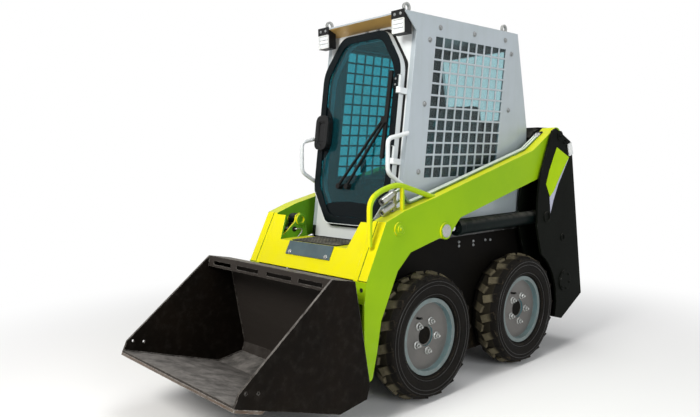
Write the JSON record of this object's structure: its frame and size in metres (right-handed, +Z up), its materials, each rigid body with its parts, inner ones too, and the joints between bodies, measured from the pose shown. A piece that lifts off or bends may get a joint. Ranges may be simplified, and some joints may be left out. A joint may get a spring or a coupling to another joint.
{
  "type": "skid steer loader",
  "caption": "Compact wheeled skid steer loader with a closed cab, lift arms on rear uprights and a tilting bucket, for digging, carrying and loading.",
  "frame": {"origin": "centre of the overall box at ground level", "axes": "+X forward to the bucket, +Y to the machine's left, +Z up"},
  "size_m": [2.3712, 0.9, 1.7821],
  "materials": {
    "black_paint": "satin black paint, dusty",
    "lime_paint": "gloss lime green paint",
    "yellow_paint": "gloss yellow green paint",
    "grey_paint": "satin silver grey paint",
    "white_paint": "gloss pale grey paint",
    "rim_paint": "grey paint",
    "step_grey": "dark grey paint",
    "dark_glass": "dark tinted glass",
    "door_glass": "blue green tinted glass",
    "black_rubber": "matte black rubber",
    "tyre_rubber": "matte tyre rubber",
    "black_plastic": "grained black plastic",
    "seat_cover": "black vinyl",
    "lamp": "black housing with a clear lens",
    "steel": "bare steel",
    "rod_chrome": "hard chrome",
    "cylinder_paint": "dark teal paint",
    "edge_steel": "worn and rusty steel",
    "engine_iron": "cast iron",
    "tail_lens": "clear lens"
  },
  "bodies": {
    "frame": {"chassis": "black_paint", "axles": "black_paint", "towers": "black_paint", "engine": "engine_iron", "hood": "black_paint", "tail_lamps": "tail_lens", "cab_sides": "grey_paint", "side_glass": "dark_glass", "cab_front": "white_paint", "cab_roof": "grey_paint", "cab_rear": "grey_paint", "rear_glass": "dark_glass", "work_lamps": "lamp", "lifting_eyes": "steel", "cab_handles": "white_paint", "seat_base": "black_paint", "seat": "seat_cover", "consoles": "black_plastic", "levers": "black_plastic"},
    "rear_door": {"rear_door": "black_paint"},
    "cab_door": {"door_frame": "black_rubber", "door_glass": "door_glass", "door_latch": "black_plastic", "wiper": "black_plastic"},
    "lift_arms": {"arms": "lime_paint", "cross_member": "yellow_paint", "step_plate": "step_grey", "step_tread": "black_rubber", "guard_rail": "yellow_paint", "couplers": "steel", "hydraulic_lines": "black_rubber"},
    "lift_barrels": {"lift_barrels": "cylinder_paint"},
    "lift_rods": {"lift_rods": "rod_chrome"},
    "tilt_barrels": {"tilt_barrels": "black_paint"},
    "tilt_rods": {"tilt_rods": "rod_chrome"},
    "bucket": {"quick_attach": "black_paint", "bucket": "black_paint", "cutting_edge": "edge_steel"},
    "wheel_front_left": {"tyre_front_left": "tyre_rubber", "rim_front_left": "rim_paint"},
    "wheel_front_right": {"tyre_front_right": "tyre_rubber", "rim_front_right": "rim_paint"},
    "wheel_rear_left": {"tyre_rear_left": "tyre_rubber", "rim_rear_left": "rim_paint"},
    "wheel_rear_right": {"tyre_rear_right": "tyre_rubber", "rim_rear_right": "rim_paint"}
  },
  "joints": [
    {"name": "lift", "type": "hinge", "parent": "frame", "child": "lift_arms", "pos_m": [-0.92564, 0, 1.197], "axis": [0, -1, 0], "range_deg": [-1.5, 77]},
    {"name": "tilt", "type": "hinge", "parent": "lift_arms", "child": "bucket", "pos_m": [0.52436, 0, 0.203], "axis": [0, 1, 0], "range_deg": [0, 115]},
    {"name": "cab_door_swing", "type": "hinge", "parent": "frame", "child": "cab_door", "pos_m": [0.27091, 0.262, 0.70634], "axis": [-0.1409, 0, 0.99], "range_deg": [0, 90]},
    {"name": "rear_door_swing", "type": "hinge", "parent": "frame", "child": "rear_door", "pos_m": [-1.19394, -0.3016, 0.29329], "axis": [0.153, 0, 0.9882], "range_deg": [0, 100]},
    {"name": "lift_barrel_swing", "type": "hinge", "parent": "frame", "child": "lift_barrels", "pos_m": [-0.7996, 0, 0.7617], "axis": [0, -1, 0], "range_deg": [-1.83, 68.64]},
    {"name": "lift_rod_slide", "type": "slide", "parent": "lift_barrels", "child": "lift_rods", "axis": [1, 0, -0.006], "range_m": [-0.01551, 0.54449]},
    {"name": "tilt_barrel_swing", "type": "hinge", "parent": "lift_arms", "child": "tilt_barrels", "pos_m": [0.33876, 0, 0.79045], "axis": [0, 1, 0], "range_deg": [-5.53, 0.5]},
    {"name": "tilt_rod_slide", "type": "slide", "parent": "tilt_barrels", "child": "tilt_rods", "axis": [0.3816, 0, -0.9243], "range_m": [-0.005, 0.27336]},
    {"name": "wheel_front_left_spin", "type": "hinge", "parent": "frame", "child": "wheel_front_left", "pos_m": [0.14236, 0.3675, 0.292], "axis": [0, 1, 0], "continuous": true},
    {"name": "wheel_front_right_spin", "type": "hinge", "parent": "frame", "child": "wheel_front_right", "pos_m": [0.14236, -0.3675, 0.292], "axis": [0, 1, 0], "continuous": true},
    {"name": "wheel_rear_left_spin", "type": "hinge", "parent": "frame", "child": "wheel_rear_left", "pos_m": [-0.59364, 0.3675, 0.292], "axis": [0, 1, 0], "continuous": true},
    {"name": "wheel_rear_right_spin", "type": "hinge", "parent": "frame", "child": "wheel_rear_right", "pos_m": [-0.59364, -0.3675, 0.292], "axis": [0, 1, 0], "continuous": true}
  ],
  "couplings": [
    {"joint": "lift_barrel_swing", "follows": "lift", "ratio": 0.885},
    {"joint": "lift_rod_slide", "follows": "lift", "m_per_rad": 0.40144},
    {"joint": "tilt_barrel_swing", "follows": "tilt", "ratio": -0.043753},
    {"joint": "tilt_rod_slide", "follows": "tilt", "m_per_rad": 0.1337}
  ]
}
